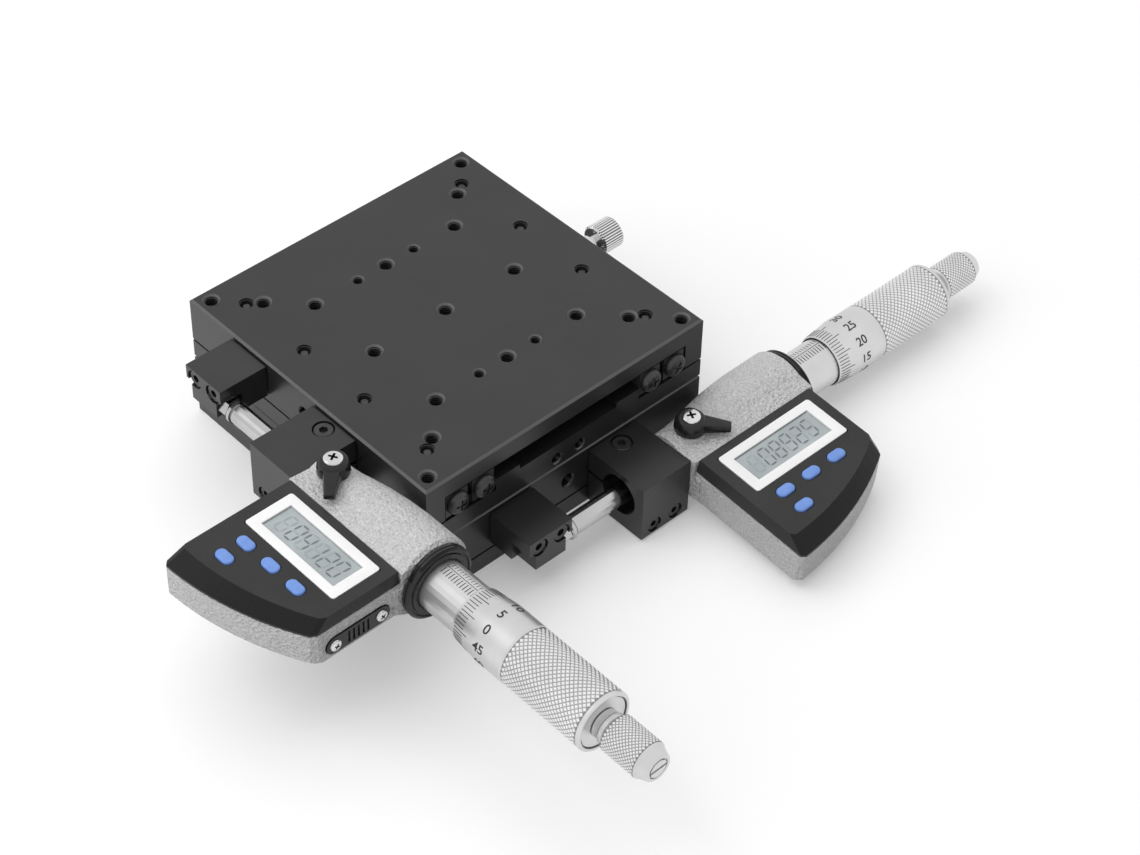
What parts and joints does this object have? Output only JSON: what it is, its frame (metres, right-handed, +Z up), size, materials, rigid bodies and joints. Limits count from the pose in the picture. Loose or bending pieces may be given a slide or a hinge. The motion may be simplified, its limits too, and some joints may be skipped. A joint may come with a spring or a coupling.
{
  "type": "two-axis linear translation stage",
  "caption": "Flat black crossed-roller stage with stacked plates, moved along each axis by a digital micrometer head that pushes a stop block against a return spring.",
  "frame": {"origin": "centre of the base plate's underside", "axes": "+Z up through the table; +X along the lower head's axis, the way its thimble backs off; -Y the same for the upper head"},
  "size_m": [0.3301, 0.2676, 0.0591],
  "materials": {
    "black_anodised": "black anodised, fine matt",
    "rail_steel": "ground tool steel, darkened",
    "bright_steel": "ground and polished",
    "satin_chrome": "satin chrome plating",
    "black_screw": "black oxide",
    "hammered_grey": "silver-grey hammer paint",
    "black_plastic": "fine satin",
    "white_plastic": "smooth",
    "screen_grey": "clear glossy window over a grey display",
    "blue_plastic": "smooth soft key",
    "spring_wire": "drawn wire"
  },
  "bodies": {
    "base": {"base_plate": "black_anodised", "x_fixed_rail_drive_side": "rail_steel", "x_fixed_rail_lock_side": "rail_steel", "x_return_spring": "spring_wire", "x_head_holder": "black_anodised", "x_clamp_screw": "black_screw", "x_lock_plate": "black_anodised", "x_head_casting": "hammered_grey", "x_sleeve": "satin_chrome", "x_ring_nut": "black_plastic", "x_display_cover": "black_plastic", "x_screen_frame": "white_plastic", "x_screen_window": "screen_grey", "x_battery_hatch": "black_plastic"},
    "x_cages": {"x_roller_cage_drive_side": "bright_steel", "x_roller_cage_lock_side": "bright_steel"},
    "saddle": {"saddle_plate": "black_anodised", "cross_carriage": "black_anodised", "x_moving_rail_drive_side": "rail_steel", "x_moving_rail_lock_side": "rail_steel", "x_stop_block": "black_anodised", "x_stop_anvil": "bright_steel", "y_fixed_rail_drive_side": "rail_steel", "y_fixed_rail_lock_side": "rail_steel", "y_return_spring": "spring_wire", "y_head_holder": "black_anodised", "y_clamp_screw": "black_screw", "y_lock_plate": "black_anodised", "y_head_casting": "hammered_grey", "y_sleeve": "satin_chrome", "y_ring_nut": "black_plastic", "y_display_cover": "black_plastic", "y_screen_frame": "white_plastic", "y_screen_window": "screen_grey", "y_battery_hatch": "black_plastic"},
    "y_cages": {"y_roller_cage_drive_side": "bright_steel", "y_roller_cage_lock_side": "bright_steel"},
    "table": {"table_plate": "black_anodised", "y_moving_rail_drive_side": "rail_steel", "y_moving_rail_lock_side": "rail_steel", "y_stop_block": "black_anodised", "y_stop_anvil": "bright_steel"},
    "x_spindle": {"x_spindle": "bright_steel"},
    "x_thimble": {"x_thimble": "satin_chrome"},
    "x_ratchet": {"x_ratchet": "satin_chrome"},
    "y_spindle": {"y_spindle": "bright_steel"},
    "y_thimble": {"y_thimble": "satin_chrome"},
    "y_ratchet": {"y_ratchet": "satin_chrome"},
    "x_lever": {"x_lock_lever": "black_plastic"},
    "y_lever": {"y_lock_lever": "black_plastic"},
    "x_lock": {"x_lock_screw": "satin_chrome"},
    "y_lock": {"y_lock_screw": "satin_chrome"},
    "x_key_1": {"x_button_1": "blue_plastic"},
    "x_key_2": {"x_button_2": "blue_plastic"},
    "x_key_3": {"x_button_3": "blue_plastic"},
    "x_key_4": {"x_button_4": "blue_plastic"},
    "y_key_1": {"y_button_1": "blue_plastic"},
    "y_key_2": {"y_button_2": "blue_plastic"},
    "y_key_3": {"y_button_3": "blue_plastic"},
    "y_key_4": {"y_button_4": "blue_plastic"}
  },
  "joints": [
    {"name": "x_thimble_turn", "type": "hinge", "parent": "x_spindle", "child": "x_thimble", "pos_m": [0.0315, -0.0777, 0.0142], "axis": [1, 0, 0], "range_deg": [-9000, 9000]},
    {"name": "x_spindle_slide", "type": "slide", "parent": "base", "child": "x_spindle", "axis": [1, 0, 0], "range_m": [-0.0125, 0.0125]},
    {"name": "x_slide", "type": "slide", "parent": "base", "child": "saddle", "axis": [1, 0, 0], "range_m": [-0.0125, 0.0125], "deforming": ["x_return_spring"]},
    {"name": "x_cage_slide", "type": "slide", "parent": "base", "child": "x_cages", "axis": [1, 0, 0], "range_m": [-0.00625, 0.00625]},
    {"name": "x_ratchet_turn", "type": "hinge", "parent": "x_thimble", "child": "x_ratchet", "pos_m": [0.0315, -0.0777, 0.0142], "axis": [1, 0, 0], "continuous": true},
    {"name": "y_thimble_turn", "type": "hinge", "parent": "y_spindle", "child": "y_thimble", "pos_m": [-0.0777, -0.0271, 0.04035], "axis": [0, -1, 0], "range_deg": [-9000, 9000]},
    {"name": "y_spindle_slide", "type": "slide", "parent": "saddle", "child": "y_spindle", "axis": [0, -1, 0], "range_m": [-0.0125, 0.0125]},
    {"name": "y_slide", "type": "slide", "parent": "saddle", "child": "table", "axis": [0, -1, 0], "range_m": [-0.0125, 0.0125], "deforming": ["y_return_spring"]},
    {"name": "y_cage_slide", "type": "slide", "parent": "saddle", "child": "y_cages", "axis": [0, -1, 0], "range_m": [-0.00625, 0.00625]},
    {"name": "y_ratchet_turn", "type": "hinge", "parent": "y_thimble", "child": "y_ratchet", "pos_m": [-0.0777, -0.0271, 0.04035], "axis": [0, -1, 0], "continuous": true},
    {"name": "x_lever_turn", "type": "hinge", "parent": "base", "child": "x_lever", "pos_m": [0.0408, -0.0785, 0.01415], "axis": [0, -0.0663, 0.9978], "range_deg": [-30, 30]},
    {"name": "y_lever_turn", "type": "hinge", "parent": "saddle", "child": "y_lever", "pos_m": [-0.0785, -0.0358, 0.04035], "axis": [0, 0, 1], "range_deg": [-30, 30]},
    {"name": "x_lock_turn", "type": "hinge", "parent": "base", "child": "x_lock", "pos_m": [-0.003, 0.0628, 0.01285], "axis": [0, 1, 0], "range_deg": [-360, 360]},
    {"name": "y_lock_turn", "type": "hinge", "parent": "saddle", "child": "y_lock", "pos_m": [0.0628, 0.003, 0.039], "axis": [1, 0, 0], "range_deg": [-360, 360]},
    {"name": "x_key_1_press", "type": "slide", "parent": "base", "child": "x_key_1", "axis": [0, 0.0663, -0.9978], "range_m": [0, 0.0005], "stiffness_N_per_m": 400},
    {"name": "x_key_2_press", "type": "slide", "parent": "base", "child": "x_key_2", "axis": [0, 0.0663, -0.9978], "range_m": [0, 0.0005], "stiffness_N_per_m": 400},
    {"name": "x_key_3_press", "type": "slide", "parent": "base", "child": "x_key_3", "axis": [0, 0.0663, -0.9978], "range_m": [0, 0.0005], "stiffness_N_per_m": 400},
    {"name": "x_key_4_press", "type": "slide", "parent": "base", "child": "x_key_4", "axis": [0, 0.0663, -0.9978], "range_m": [0, 0.0005], "stiffness_N_per_m": 400},
    {"name": "y_key_1_press", "type": "slide", "parent": "saddle", "child": "y_key_1", "axis": [0, 0, -1], "range_m": [0, 0.0005], "stiffness_N_per_m": 400},
    {"name": "y_key_2_press", "type": "slide", "parent": "saddle", "child": "y_key_2", "axis": [0, 0, -1], "range_m": [0, 0.0005], "stiffness_N_per_m": 400},
    {"name": "y_key_3_press", "type": "slide", "parent": "saddle", "child": "y_key_3", "axis": [0, 0, -1], "range_m": [0, 0.0005], "stiffness_N_per_m": 400},
    {"name": "y_key_4_press", "type": "slide", "parent": "saddle", "child": "y_key_4", "axis": [0, 0, -1], "range_m": [0, 0.0005], "stiffness_N_per_m": 400}
  ],
  "couplings": [
    {"joint": "x_thimble_turn", "follows": "x_slide", "rad_per_m": 12566},
    {"joint": "x_spindle_slide", "follows": "x_slide", "ratio": 1},
    {"joint": "x_cage_slide", "follows": "x_slide", "ratio": 0.5},
    {"joint": "y_thimble_turn", "follows": "y_slide", "rad_per_m": 12566},
    {"joint": "y_spindle_slide", "follows": "y_slide", "ratio": 1},
    {"joint": "y_cage_slide", "follows": "y_slide", "ratio": 0.5}
  ]
}
